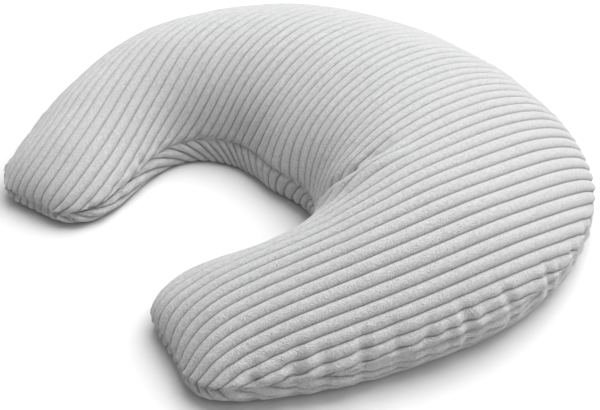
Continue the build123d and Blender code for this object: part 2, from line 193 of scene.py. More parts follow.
class Pillow:
    """Rows of sections along the pillow, with the cloth's flat place of every point."""

    def __init__(self, rows=221, tip_rows=40, columns=241, inset=0.0):
        straight = HALF_LENGTH - TIP_LENGTH - inset
        tip = np.linspace(0, math.pi / 2, tip_rows + 1)
        reach = TIP_LENGTH * np.sin(tip) ** (2 / TIP_POWER)
        drop = TOP_RISE[-1] * np.cos(tip) ** (2 / TIP_POWER)
        round_length = np.concatenate([[0], np.cumsum(np.hypot(np.diff(reach), np.diff(drop)))])
        plain = np.linspace(0, straight, rows)
        self.along = mirrored(np.concatenate([plain, straight + reach[1:]]), -1)
        self.cloth = mirrored(np.concatenate([plain, straight + round_length[1:]]), -1)
        self.tip = mirrored(np.concatenate([np.zeros(rows), tip[1:]]))
        self.place = np.abs(self.along) / HALF_LENGTH
        bends = 1 / np.asarray(BEND_RADIUS)
        self.line, self.heading = trace(self.along, blend(self.place, STATIONS, bends))
        self.line[:, 1] += RIDGE_Y
        self.normal = np.stack([-self.heading[:, 1], self.heading[:, 0]], 1)
        narrowing = np.sin(self.tip) ** 4
        right = self.along > 0
        fullness = np.where(right, *OUTER_FULLNESS) * ease((self.place - 0.5) / 0.4)
        self.outer = (blend(self.place, STATIONS, OUTER_WIDTH) + fullness - inset) * (
            1 - (1 - TIP_OUTER) * narrowing
        )
        self.inner = (blend(self.place, INNER_STATIONS, INNER_WIDTH) - inset) * (
            1 - (1 - TIP_INNER) * narrowing
        )
        self.seam = blend(self.place, STATIONS, SEAM_HEIGHT)
        self.lift = blend(self.place, INNER_STATIONS, INNER_LIFT)
        self.outer_lift = blend(self.place, CORNER_STATIONS, OUTER_LIFT)
        bulges = [blend(self.place, INNER_STATIONS, bulge) for bulge in INNER_BULGE]
        self.bulge = np.where(right, *bulges)
        self.rise = blend(self.place, STATIONS, TOP_RISE) - inset
        self.columns = columns
        self.inset = inset
        cut_place = np.abs(self.cloth) / self.cloth[-1]
        self.cut_bend = blend(cut_place, CUT_STATIONS, 1 / np.asarray(CUT_RADIUS))
        self.cut_line, self.cut_heading = trace(self.cloth, self.cut_bend)
        self.cut_normal = np.stack([-self.cut_heading[:, 1], self.cut_heading[:, 0]], 1)
        self.top, self.top_girth = self.make_top()
        self.bottom, self.bottom_girth = self.make_bottom()

    def spread(self, offset, height):
        """3-D points at offsets across each row's ridge line, and at heights."""
        plan = self.line[:, None] + self.normal[:, None] * offset[..., None]
        return np.concatenate([plan, height[..., None]], 2)

    def make_top(self):
        angle = np.linspace(-math.pi / 2, math.pi / 2, self.columns)
        share = np.sin(angle) - RIDGE_LEAN * np.cos(angle) ** 2
        lift = np.abs(np.cos(angle)) ** (2 / TOP_POWER)
        offset = np.where(share > 0, share * self.outer[:, None], share * self.inner[:, None])
        fall = np.cos(self.tip) ** (2 / TIP_POWER)
        height = self.seam[:, None] + (self.rise * fall)[:, None] * lift
        height += self.lift[:, None] * np.clip(-share, 0, 1) ** 4
        height += self.outer_lift[:, None] * np.clip(share, 0, 1) ** 4
        climb = np.diff(lift) * self.rise[:, None]
        steps = np.hypot(np.diff(offset, axis=1), climb)
        girth = np.concatenate([np.zeros((len(steps), 1)), np.cumsum(steps, 1)], 1)
        girth -= girth[:, [self.columns // 2]]
        return self.spread(offset, height), girth

    def make_bottom(self):
        """Low wall, rounded lower edge and flat underside; its cloth mirrors the top's."""
        closing = np.cos(self.tip) ** 0.4
        rest = self.seam - (self.seam - self.inset) * closing
        turn = np.linspace(0, math.pi / 2, 25)
        sides = []
        for half, radius, lift, bulge in (
            (
                self.outer,
                blend(self.place, CORNER_STATIONS, OUTER_CORNER),
                self.outer_lift,
                0 * self.bulge,
            ),
            (self.inner, INNER_CORNER, self.lift, self.bulge),
        ):
            edge = self.seam + lift
            depth = edge - rest
            corner = np.minimum(radius, depth) - bulge
            wall = half[:, None] + bulge[:, None] * np.sin(turn)
            wall -= (corner + bulge)[:, None] * (1 - np.cos(turn))
            floor = (half - corner)[:, None] * np.linspace(1, 0, 46)[1:]
            wall_height = edge[:, None] - depth[:, None] * np.sin(turn)
            floor_height = np.repeat(rest[:, None], floor.shape[1], 1)
            sides.append(
                (
                    np.concatenate([wall, floor], 1),
                    np.concatenate([wall_height, floor_height], 1),
                )
            )
        (outer, outer_height), (inner, inner_height) = sides
        offset = np.concatenate([-inner, outer[:, -2::-1]], 1)
        height = np.concatenate([inner_height, outer_height[:, -2::-1]], 1)
        steps = np.hypot(np.diff(offset, axis=1), np.diff(height, axis=1))
        girth = np.concatenate([np.zeros((len(steps), 1)), np.cumsum(steps, 1)], 1)
        middle = inner.shape[1] - 1
        girth -= girth[:, [middle]]
        inward = girth / -girth[:, [0]] * -self.top_girth[:, [0]]
        outward = girth / girth[:, [-1]] * self.top_girth[:, [-1]]
        return self.spread(offset, height), np.where(girth < 0, inward, outward)

    def flat_outline(self, cut_back):
        """Edge of the flat panel, once round, with its outer side cut back for the zip."""
        inner = self.cut_line + self.cut_normal * self.top_girth[:, [0]]
        outer = self.cut_line + self.cut_normal * (self.top_girth[:, [-1]] - cut_back[:, None])
        ends = [
            self.cut_line[row] + self.cut_normal[row] * self.top_girth[row][order, None]
            for row, order in ((-1, slice(1, -1)), (0, slice(-2, 0, -1)))
        ]
        return np.concatenate([inner, ends[0], outer[::-1], ends[1]])

    def inside(self, flat, cut_back, margin):
        """Which points of the flat cloth lie in the panel, this far from its edge."""
        row, girth = self.locate(flat)
        enough = girth > between(self.top_girth[:, 0], row) + margin
        enough &= girth < between(self.top_girth[:, -1] - cut_back, row) - margin
        end = margin / (self.cloth[-1] - self.cloth[-2])
        return enough & (row > end) & (row < len(self.cloth) - 1 - end)

    def locate(self, flat):
        """Row (as a real number) and girth of each point of the flat cloth."""
        row = np.empty(len(flat))
        girth = np.empty(len(flat))
        for start in range(0, len(flat), 4000):
            part = flat[start : start + 4000]
            gaps = part[:, None] - self.cut_line[None]
            nearest = np.argmin((gaps**2).sum(2), 1)
            rest = part - self.cut_line[nearest]
            across = (rest * self.cut_normal[nearest]).sum(1)
            onward = (rest * self.cut_heading[nearest]).sum(1)
            onward /= np.maximum(1 + self.cut_bend[nearest] * across, 0.2)
            length = self.cloth[nearest] + onward
            row[start : start + 4000] = np.interp(length, self.cloth, np.arange(len(self.cloth)))
            girth[start : start + 4000] = across
        return row, girth


def between(table, row, column=None):
    """Linear reading of a table at real-numbered rows (and columns)."""
    low = np.clip(row.astype(int), 0, len(table) - 2)
    share = row - low
    if column is None:
        share = share.reshape([-1] + [1] * (table.ndim - 1))
        return table[low] * (1 - share) + table[low + 1] * share
    left = np.clip(column.astype(int), 0, table.shape[1] - 2)
    side = (column - left)[:, None]
    share = share[:, None]
    first = table[low, left] * (1 - side) + table[low, left + 1] * side
    second = table[low + 1, left] * (1 - side) + table[low + 1, left + 1] * side
    return first * (1 - share) + second * share


def column_of(girths, row, girth):
    """Real-numbered column at which each row of a girth table reaches a value."""
    column = np.empty(len(row))
    for start in range(0, len(row), 20000):
        part = slice(start, start + 20000)
        line = between(girths, row[part])
        value = girth[part]
        left = np.clip((line < value[:, None]).sum(1) - 1, 0, girths.shape[1] - 2)
        pick = np.arange(len(value))
        low, high = line[pick, left], line[pick, left + 1]
        column[part] = left + np.clip((value - low) / np.maximum(high - low, 1e-9), 0, 1)
    return column


def table_normals(table, side):
    """Unit normals of a table of points, out of the pillow: side is 1 on top, -1 below."""
    normals = np.cross(np.gradient(table, axis=0), np.gradient(table, axis=1)) * side
    normals /= np.maximum(np.linalg.norm(normals, axis=2, keepdims=True), 1e-12)
    normals[0], normals[-1] = normals[2], normals[-3]     # the tips close up to a line
    normals[1], normals[-2] = normals[2], normals[-3]
    return normals


def noise_field(points, scale, seed):
    """Smooth noise between about -1 and 1 at each point."""
    shift = Vector((seed * 7.3, seed * 3.1, seed * 5.7))
    flat = points.reshape(-1, 3)
    values = [noise.noise(Vector(point) * scale + shift) for point in flat]
    return np.array(values).reshape(points.shape[:-1])


def ease(share):
    """Smooth step from 0 to 1."""
    share = np.clip(share, 0, 1)
    return share * share * (3 - 2 * share)


def rib_relief(phase):
    """0 on a rib's crown, 1 at the bottom of the groove beside it."""
    off_crown = np.abs(2 * (phase % 1.0) - 1)
    return 0.70 * off_crown**2 + 0.30 * off_crown**10


def resample(outline, step):
    """Points at an even spacing round a closed outline."""
    closed = np.concatenate([outline, outline[:1]])
    lengths = np.concatenate([[0], np.cumsum(np.linalg.norm(np.diff(closed, axis=0), axis=1))])
    count = int(lengths[-1] / step)
    at = np.linspace(0, lengths[-1], count, endpoint=False)
    return np.stack([np.interp(at, lengths, closed[:, k]) for k in (0, 1)], 1)


def cut_to_ribs(pillow, cut_back):
    """Flat points in lines along the ribs, and triangles, filling the panel's outline."""
    cosine, sine = math.cos(RIB_TURN), math.sin(RIB_TURN)
    turn = np.array([[cosine, sine], [-sine, cosine]])
    outline = resample(pillow.flat_outline(cut_back), EDGE_STEP) @ turn.T
    low, high = outline.min(0), outline.max(0)
    first, last = int(low[0] / RIB_PITCH) - 1, int(high[0] / RIB_PITCH) + 1
    lines = [(k + share) * RIB_PITCH for k in range(first, last + 1) for share in RIB_LINES]
    marks = np.arange(low[1], high[1], ALONG_STEP)
    across, along = np.meshgrid(np.array(lines), marks, indexing="ij")
    along = along + (np.arange(len(lines)) % 2)[:, None] * ALONG_STEP / 2
    candidates = np.stack([across.ravel(), along.ravel()], 1)
    margin = 0.6 * EDGE_STEP
    candidates = candidates[pillow.inside(candidates @ turn, cut_back, margin)]
    points = np.concatenate([outline, candidates])
    stretched = [Vector((p[0] * STRETCH, p[1])) for p in points]
    count = len(outline)
    edges = [(i, (i + 1) % count) for i in range(count)]
    made, _, faces, _, _, _ = geometry.delaunay_2d_cdt(stretched, edges, [], 1, 1e-7, False)
    flat = np.array([(p.x / STRETCH, p.y) for p in made])
    faces = np.array(faces)
    middles = flat[faces].mean(1) @ turn
    faces = faces[pillow.inside(middles, cut_back, -margin / 8)]
    return flat, faces, turn


def new_mesh(name, points, faces, uv=None, rib=None):
    mesh = bpy.data.meshes.new(name)
    mesh.from_pydata([tuple(p) for p in points], [], [tuple(f) for f in faces])
    mesh.update()
    if uv is not None:
        layer = mesh.uv_layers.new(name="cloth")
        corners = np.empty(len(mesh.loops), dtype=np.int32)
        mesh.loops.foreach_get("vertex_index", corners)
        layer.data.foreach_set("uv", uv[corners].astype(np.float32).ravel())
    # The groove attribute drives the painted shade that darkens the cloth in the grooves.
    if rib is not None:
        attribute = mesh.attributes.new("groove", "FLOAT", "POINT")
        attribute.data.foreach_set("value", rib.astype(np.float32))
    mesh.polygons.foreach_set("use_smooth", [True] * len(mesh.polygons))
    piece = bpy.data.objects.new(name, mesh)
    bpy.context.scene.collection.objects.link(piece)
    return piece


# ---- How the filled cover lies: folds, puckers and the cloth simulation ------------------
def seam_lengths(table, column):
    """Length along a seam from the crown's middle to each row."""
    steps = np.linalg.norm(np.diff(table[:, column], axis=0), axis=1)
    lengths = np.concatenate([[0], np.cumsum(steps)])
    return lengths - lengths[len(lengths) // 2]


def pucker_depth(table, girths, column, puckers, share):
    """Depth of the gathers that run in from a seam."""
    length = seam_lengths(table, column)[:, None]
    edge = np.abs(girths - girths[:, [column]])
    total = np.zeros(girths.shape)
    for at, reach, depth, slant in puckers:
        off = (length - at + slant * edge) / PUCKER_WIDTH
        across = np.exp(-(off**2)) - 0.45 * np.exp(-(((np.abs(off) - 2.2) / 1.1) ** 2))
        rising = 0.35 + 0.65 * ease(edge / SEAM_VALLEY / 2)
        total += PUCKER_GAIN * share * depth * across * rising * ease(1.25 * (1 - edge / reach))
    return total


def fold_depth(table, girths):
    """Depth of the crease at the root of the right arm, with a lip on the arm's side."""
    cloth, inward = np.array(FOLD).T
    knots = np.linspace(0, 1, len(FOLD))
    fine = np.linspace(0, 1, 60)
    row = np.interp(np.interp(fine, knots, cloth), pillow.cloth, np.arange(len(pillow.cloth)))
    girth = between(girths[:, 0], row) + np.interp(fine, knots, inward)
    path = between(table, row, column_of(girths, row, girth))
    first, last = int(row.min()) - 40, int(row.max()) + 40
    gaps = table[first:last, :, None] - path
    distance = np.linalg.norm(gaps, axis=3)
    nearest = distance.argmin(2)
    away = np.take_along_axis(distance, nearest[..., None], 2)[..., 0]
    course = np.gradient(path, axis=0)[nearest]
    gap = np.take_along_axis(gaps, nearest[..., None, None], 2)[:, :, 0]
    side = np.sign(course[..., 0] * gap[..., 1] - course[..., 1] * gap[..., 0])
    window = ease(fine[nearest] * 4) * ease((1 - fine[nearest]) * 2.5)
    pockets = 1 + FOLD_RIPPLE * np.cos(2 * math.pi * FOLD_POCKETS * fine[nearest])
    crown_side = pockets * np.exp(-((away / FOLD_SLOPE) ** 2))
    arm_side = np.exp(-((away / (0.35 * FOLD_SLOPE)) ** 2)) - FOLD_LIP / FOLD_DEPTH * np.exp(
        -(((away - 1.2 * FOLD_SLOPE) / FOLD_SLOPE) ** 2)
    )
    total = np.zeros(girths.shape)
    total[first:last] = FOLD_DEPTH * window * np.where(side > 0, crown_side, arm_side)
    return total


def soften(table, girths, side, settled):
    """The table as the filled cloth really lies."""
    normals = table_normals(table, side)
    share = 1.0 if side > 0 else 0.6
    sink = pucker_depth(table, girths, -1, OUTER_PUCKERS, share)
    sink += pucker_depth(table, girths, 0, INNER_PUCKERS, share)
    if side > 0:
        sink += fold_depth(table, girths)
    rise = np.zeros(girths.shape)
    for scale, height, seed in UNDULATION:
        rise += height * noise_field(table, scale, seed)
    for x, y, z, radius, amount in SWELLS:
        away = np.linalg.norm(table - np.array([x, y, z]), axis=2)
        rise += amount * np.exp(-((away / radius) ** 2))
    lying = 1 - ease((table[..., 2] - 0.001) / 0.012) if side < 0 else 0.0
    lift = (rise - sink) * (1 - lying)
    return table + normals * lift[..., None] + settled


def settle(pillow):
    """Cloth simulation of a coarse cover whose seam is sewn tight: how far each point of
    the top and bottom tables moves, without the swelling that only changes the size."""
    top = pillow.top[::SIM_ROWS, ::SIM_TOP]
    bottom = pillow.bottom[::SIM_ROWS, ::SIM_BOTTOM]
    loop = np.concatenate([top, bottom[:, -2:0:-1]], 1)[SIM_ENDS:-SIM_ENDS]
    rows, count = loop.shape[:2]
    points = loop.reshape(-1, 3)
    jitter = 0.0004 * noise_field(points, 90.0, 5)
    start = points + jitter[:, None] * np.array([0.0, 0.0, 1.0]) * (points[:, [2]] > 0.002)
    index = np.arange(rows * count).reshape(rows, count)
    onward = np.roll(index, -1, 1)
    quads = np.stack([index[:-1], index[1:], onward[1:], onward[:-1]], 2).reshape(-1, 4)
    coarse = new_mesh("coarse_cover", start, quads[:, ::-1])
    pin = coarse.vertex_groups.new(name="pin")
    pin.add(list(range(len(points))), SIM_HOLD, "REPLACE")
    lying = np.nonzero(points[:, 2] < 0.004)[0]
    pin.add([int(i) for i in lying], 0.9, "REPLACE")
    pin.add([int(i) for i in np.concatenate([index[0], index[-1]])], 1.0, "REPLACE")
    tight = coarse.vertex_groups.new(name="tight")
    outer = top.shape[1] - 1
    for column, weight in ((0, 0.6), (outer, 1.0), (1, 0.25), (outer - 1, 0.4)):
        for i, row in enumerate(index[:, column]):
            uneven = 0.75 + 0.5 * noise.noise(Vector((i * 0.31, column, 2.0)))
            tight.add([int(row)], weight * uneven, "REPLACE")
    modifier = coarse.modifiers.new("settle", "CLOTH")
    cloth = modifier.settings
    cloth.quality = 5
    cloth.mass = 0.3
    cloth.tension_stiffness = cloth.compression_stiffness = 18
    cloth.shear_stiffness = 6
    cloth.bending_stiffness = 0.3
    cloth.use_pressure = True
    cloth.uniform_pressure_force = 1
    cloth.effector_weights.gravity = 0
    cloth.vertex_group_mass = "pin"
    cloth.vertex_group_shrink = "tight"
    cloth.shrink_max = 0.12
    modifier.collision_settings.use_collision = False
    modifier.point_cache.frame_start, modifier.point_cache.frame_end = 1, SIM_FRAMES
    scene = bpy.context.scene
    for step in range(1, SIM_FRAMES + 1):
        scene.frame_set(step)
    posed = coarse.evaluated_get(bpy.context.evaluated_depsgraph_get()).data
    moved = np.empty(len(points) * 3, np.float32)
    posed.vertices.foreach_get("co", moved)
    scene.frame_set(1)
    bpy.data.objects.remove(coarse)
    move = (moved.reshape(-1, 3) - start).reshape(rows, count, 3)
    swelling = move.copy()
    for _ in range(SMOOTHING):
        before, after = swelling[:1], swelling[-1:]
        before, after = np.concatenate([before, swelling]), np.concatenate([swelling, after])
        swelling = (swelling + before[:-1] + after[1:]) / 3
    move = WRINKLE_GAIN * (move - swelling)
    size = np.linalg.norm(move, axis=2, keepdims=True)
    move *= np.minimum(1, SIM_CAP / np.maximum(size, 1e-9))
    move = np.pad(move, ((SIM_ENDS, SIM_ENDS), (0, 0), (0, 0)))
    lower = np.concatenate([move[:, :1], move[:, :outer - 1 : -1]], 1)
    return (
        widen(move[:, : outer + 1], pillow.top.shape, SIM_TOP),
        widen(lower, pillow.bottom.shape, SIM_BOTTOM),
    )


def widen(move, shape, skip):
    """Read a coarse table of moves at every point of the fine one, smoothly."""
    row = np.arange(shape[0]) / SIM_ROWS
    column = np.arange(shape[1]) / skip
    grid_row, grid_column = np.meshgrid(row, column, indexing="ij")
    wide = between(move, grid_row.ravel(), grid_column.ravel()).reshape(shape)
    for _ in range(2):
        wide[1:-1] = (wide[:-2] + 2 * wide[1:-1] + wide[2:]) / 4
        wide[:, 1:-1] = (wide[:, :-2] + 2 * wide[:, 1:-1] + wide[:, 2:]) / 4
    return wide


# ---- The cover -------------------------------------------------------------------------
def slot_cut(pillow, table, girths):
    """How far each row's outer edge is cut back to open the slot for the zip."""
    middle = len(table) // 2
    climb = np.abs(table[middle, ::-1, 2] - table[middle, -1, 2])[:16]
    reach = np.interp(SLOT_HALF_HEIGHT, climb, girths[middle, -1] - girths[middle, ::-1][:16])
    room = ZIP_HALF_ANGLE * BEND_RADIUS[0] - np.abs(pillow.cloth)
    return reach * ease(room / SLOT_TAPER)


def make_panel(pillow, name, table, girths, side, soft):
    """One ribbed panel of the cover, read from the table of where its cloth lies."""
    cut_back = slot_cut(pillow, table, girths)
    flat, faces, turn = cut_to_ribs(pillow, cut_back)
    row, girth = pillow.locate(flat @ turn)
    column = column_of(girths, row, girth)
    points = between(soft, row, column)
    normals = between(table_normals(soft, side), row, column)
    normals /= np.maximum(np.linalg.norm(normals, axis=1, keepdims=True), 1e-9)
    relief = rib_relief(flat[:, 0] / RIB_PITCH)
    inner = girth - between(pillow.top_girth[:, 0], row)
    opening = between(cut_back, row)
    outer = between(pillow.top_girth[:, -1], row) - opening - girth
    end = pillow.cloth[-1] - np.abs(between(pillow.cloth, row))
    edge = np.maximum(np.minimum(np.minimum(inner, outer), end), 0.0)
    stitches = between(seam_lengths(table, -1), row) / STITCH_PITCH
    valley = np.exp(-((edge / SEAM_VALLEY) ** 2)) * (0.86 + 0.14 * np.cos(2 * math.pi * stitches))
    bead = np.exp(-(((edge - BEAD_PLACE) / BEAD_WIDTH) ** 2)) * (1 - relief)
    fade = SEAM_FADE_TOP if side > 0 else SEAM_FADE_BOTTOM
    pinch = 0.0
    if side > 0:
        pinch = between(fold_depth(table, girths)[..., None], row, column)[:, 0] / FOLD_DEPTH
        pinch = FOLD_PINCH * np.clip(pinch, 0, 1)
    sink = RIB_DEPTH * relief * (1 - fade * valley + pinch)
    sink += SEAM_SINK * valley - BEAD_HEIGHT * bead
    points = points - normals * sink[:, None]
    if side < 0:
        faces = faces[:, ::-1]
    # Painted shade: how much the material darkens each point, most at the bottom of a groove.
    painted_groove_shade = relief if side > 0 else relief**0.55          # grooves look wider edge on
    piece = new_mesh(name, points, faces, flat / RIB_PITCH, painted_groove_shade)
    turn_in_hem(piece, opening, outer)
    return piece


def turn_in_hem(piece, opening, outer):
    """Fold the cloth's edge in towards the tape along the zip's slot."""
    mesh = bmesh.new()
    mesh.from_mesh(piece.data)
    mesh.verts.ensure_lookup_table()
    rim = [
        edge for edge in mesh.edges
        if edge.is_boundary
        and all(opening[v.index] > 0.3 * SLOT_HALF_HEIGHT and outer[v.index] < 1e-4 for v in edge.verts)
    ]
    made = bmesh.ops.extrude_edge_only(mesh, edges=rim)["geom"]
    for vertex in made:
        if isinstance(vertex, bmesh.types.BMVert):
            across = Vector((vertex.co.x, vertex.co.y - CROWN.y, 0)).normalized()
            vertex.co -= across * HEM_DEPTH
    bmesh.ops.recalc_face_normals(mesh, faces=mesh.faces)
    mesh.to_mesh(piece.data)
    mesh.free()


# ---- Materials -------------------------------------------------------------------------
def new_material(name):
    material = bpy.data.materials.new(name)
    material.use_nodes = True
    nodes = material.node_tree.nodes
    return material, nodes, material.node_tree.links, nodes["Principled BSDF"]


def plush_material():
    material, nodes, links, shader = new_material("rib_plush")
    shader.inputs["Roughness"].default_value = 0.92
    shader.inputs["Sheen Weight"].default_value = 0.35
    shader.inputs["Sheen Roughness"].default_value = 0.45
    shader.inputs["Specular IOR Level"].default_value = 0.12
    # Painted shade: the colour runs from lighter grey on the rib crowns to darker grey at the bottoms
    # of the grooves, where shade falls.
    groove = nodes.new("ShaderNodeAttribute")
    groove.attribute_name = "groove"
    ramp = nodes.new("ShaderNodeValToRGB")
    ramp.color_ramp.elements[0].position = 0.46
    ramp.color_ramp.elements[0].color = (0.460, 0.460, 0.464, 1)
    ramp.color_ramp.elements[1].position = 0.95
    ramp.color_ramp.elements[1].color = (0.335, 0.335, 0.339, 1)
    links.new(groove.outputs["Fac"], ramp.inputs["Fac"])
    place = nodes.new("ShaderNodeTexCoord")
    pile = nodes.new("ShaderNodeTexNoise")
    pile.inputs["Scale"].default_value = 860
    pile.inputs["Detail"].default_value = 2
    links.new(place.outputs["Object"], pile.inputs["Vector"])
    brushed = nodes.new("ShaderNodeTexNoise")
    brushed.inputs["Scale"].default_value = 300
    brushed.inputs["Detail"].default_value = 4
    links.new(place.outputs["Object"], brushed.inputs["Vector"])
    tone = nodes.new("ShaderNodeMapRange")
    tone.inputs["From Min"].default_value = 0.36
    tone.inputs["From Max"].default_value = 0.64
    tone.inputs["To Min"].default_value = 0.80
    tone.inputs["To Max"].default_value = 1.18
    part = nodes.new("ShaderNodeMath")
    part.operation = "MULTIPLY"
    part.inputs[1].default_value = 0.3
    links.new(brushed.outputs["Fac"], part.inputs[0])
    half = nodes.new("ShaderNodeMath")
    half.operation = "MULTIPLY_ADD"
    half.inputs[1].default_value = 0.7
    links.new(pile.outputs["Fac"], half.inputs[0])
    links.new(part.outputs[0], half.inputs[2])
    links.new(half.outputs[0], tone.inputs["Value"])
    tint = nodes.new("ShaderNodeVectorMath")
    tint.operation = "SCALE"
    links.new(ramp.outputs["Color"], tint.inputs[0])
    links.new(tone.outputs["Result"], tint.inputs["Scale"])
    links.new(tint.outputs["Vector"], shader.inputs["Base Color"])
    bump = nodes.new("ShaderNodeBump")
    bump.inputs["Strength"].default_value = 1.0
    bump.inputs["Distance"].default_value = 0.0023
    links.new(half.outputs[0], bump.inputs["Height"])
    links.new(bump.outputs["Normal"], shader.inputs["Normal"])
    return material


def bumped(nodes, links, shader, height, depth, strength=0.6):
    bump = nodes.new("ShaderNodeBump")
    bump.inputs["Strength"].default_value = strength
    bump.inputs["Distance"].default_value = depth
    links.new(height, bump.inputs["Height"])
    links.new(bump.outputs["Normal"], shader.inputs["Normal"])


def tinted(nodes, links, shader, value, color, dark, light):
    """Colour that runs from dark times to light times the given one with a value."""
    ramp = nodes.new("ShaderNodeValToRGB")
    ramp.color_ramp.elements[0].color = tuple(c * dark for c in color) + (1,)
    ramp.color_ramp.elements[1].color = tuple(min(c * light, 1) for c in color) + (1,)
    links.new(value, ramp.inputs["Fac"])
    links.new(ramp.outputs["Color"], shader.inputs["Base Color"])


def woven_material(name, color, threads, depth, roughness=0.85, sheen=0.15, ways=("X", "Y")):
    """Cloth with two sets of threads, this many per metre, crossing each other."""
    material, nodes, links, shader = new_material(name)
    shader.inputs["Roughness"].default_value = roughness
    shader.inputs["Sheen Weight"].default_value = sheen
    place = nodes.new("ShaderNodeTexCoord")
    sets = []
    for way in ways:
        wave = nodes.new("ShaderNodeTexWave")
        wave.bands_direction = way
        wave.inputs["Scale"].default_value = threads * math.pi / 10
        wave.inputs["Distortion"].default_value = 0.6
        wave.inputs["Detail Scale"].default_value = 4
        links.new(place.outputs["Object"], wave.inputs["Vector"])
        sets.append(wave.outputs["Fac"])
    weave = nodes.new("ShaderNodeMath")
    weave.operation = "MAXIMUM"
    links.new(sets[0], weave.inputs[0])
    links.new(sets[-1], weave.inputs[1])
    tinted(nodes, links, shader, weave.outputs[0], color, 0.72, 1.06)
    bumped(nodes, links, shader, weave.outputs[0], depth)
    return material


def fibre_material(name, color):
    """Loose polyester fibre: tangled, matt and slightly see-through at the surface."""
    material, nodes, links, shader = new_material(name)
    shader.inputs["Roughness"].default_value = 1.0
    shader.inputs["Sheen Weight"].default_value = 0.4
    shader.inputs["Subsurface Weight"].default_value = 0.15
    shader.inputs["Subsurface Scale"].default_value = 0.004
    place = nodes.new("ShaderNodeTexCoord")
    tangle = nodes.new("ShaderNodeTexNoise")
    tangle.inputs["Scale"].default_value = 130
    tangle.inputs["Detail"].default_value = 6
    tangle.inputs["Distortion"].default_value = 2.5
    links.new(place.outputs["Object"], tangle.inputs["Vector"])
    tinted(nodes, links, shader, tangle.outputs["Fac"], color, 0.80, 1.08)
    bumped(nodes, links, shader, tangle.outputs["Fac"], 0.002, 0.9)
    return material


def smooth_material(name, color, roughness, metallic, drawn):
    """Metal or nylon with fine marks drawn out along the part's height."""
    material, nodes, links, shader = new_material(name)
    shader.inputs["Metallic"].default_value = metallic
    place = nodes.new("ShaderNodeTexCoord")
    stretch = nodes.new("ShaderNodeMapping")
    stretch.inputs["Scale"].default_value = (1.0, 1.0, drawn)
    links.new(place.outputs["Object"], stretch.inputs["Vector"])
    marks = nodes.new("ShaderNodeTexNoise")
    marks.inputs["Scale"].default_value = 900
    marks.inputs["Detail"].default_value = 3
    links.new(stretch.outputs["Vector"], marks.inputs["Vector"])
    spread = nodes.new("ShaderNodeMapRange")
    spread.inputs["To Min"].default_value = roughness - 0.08
    spread.inputs["To Max"].default_value = roughness + 0.12
    links.new(marks.outputs["Fac"], spread.inputs["Value"])
    links.new(spread.outputs["Result"], shader.inputs["Roughness"])
    tinted(nodes, links, shader, marks.outputs["Fac"], color, 0.88, 1.05)
    bumped(nodes, links, shader, marks.outputs["Fac"], 0.00003, 0.3)
    return material


def dress(piece, material):
    piece.data.materials.clear()
    piece.data.materials.append(material)


# ---- Stage -----------------------------------------------------------------------------
def make_stage():
    size = 6.0
    floor = new_mesh(
        "floor",
        [(-size, -size, 0), (size, -size, 0), (size, size, 0), (-size, size, 0)],
        [(0, 1, 2, 3)],
    )
    material, _, _, shader = new_material("floor_white")
    shader.inputs["Base Color"].default_value = (0.63, 0.63, 0.63, 1)
    shader.inputs["Roughness"].default_value = 0.9
    dress(floor, material)
    world = bpy.data.worlds.new("studio")
    world.use_nodes = True
    nodes, links = world.node_tree.nodes, world.node_tree.links
    place = nodes.new("ShaderNodeTexCoord")
    parts = nodes.new("ShaderNodeSeparateXYZ")
    links.new(place.outputs["Generated"], parts.inputs["Vector"])
    height = nodes.new("ShaderNodeMapRange")
    height.inputs["From Max"].default_value = 0.8
    height.inputs["To Min"].default_value = 0.04
    height.inputs["To Max"].default_value = 0.54
    links.new(parts.outputs["Z"], height.inputs["Value"])
    background = nodes["Background"]
    background.inputs["Color"].default_value = (1, 1, 1, 1)
    links.new(height.outputs["Result"], background.inputs["Strength"])
    bpy.context.scene.world = world
    add_light("key", (-0.2, 1.0, 2.25), 3.0, 113)
    add_light("side", (1.6, 0.7, 1.7), 2.6, 22)


def add_light(name, place, size, power):
    data = bpy.data.lights.new(name, "AREA")
    data.shape = "DISK"
    data.size = size
    data.energy = power
    light = bpy.data.objects.new(name, data)
    light.location = place
    light.rotation_euler = (-Vector(place)).to_track_quat("-Z", "Y").to_euler()
    bpy.context.scene.collection.objects.link(light)


def make_camera():
    azimuth, elevation = math.radians(50.0), math.radians(37.24)
    target = Vector((0.0872, RIDGE_Y - 0.1921, 0.05))
    back = Vector(
        (
            math.sin(azimuth) * math.cos(elevation),
            -math.cos(azimuth) * math.cos(elevation),
            math.sin(elevation),
        )
    )
    data = bpy.data.cameras.new("camera")
    data.sensor_width = 36.0
    data.lens = 870.8 / 600 * 36.0
    data.clip_start = 0.01
    camera = bpy.data.objects.new("camera", data)
    camera.location = target + back * 0.8518
    camera.rotation_euler = (-back).to_track_quat("-Z", "Y").to_euler()
    bpy.context.scene.collection.objects.link(camera)
    bpy.context.scene.camera = camera
    bpy.context.scene.view_settings.view_transform = "Standard"


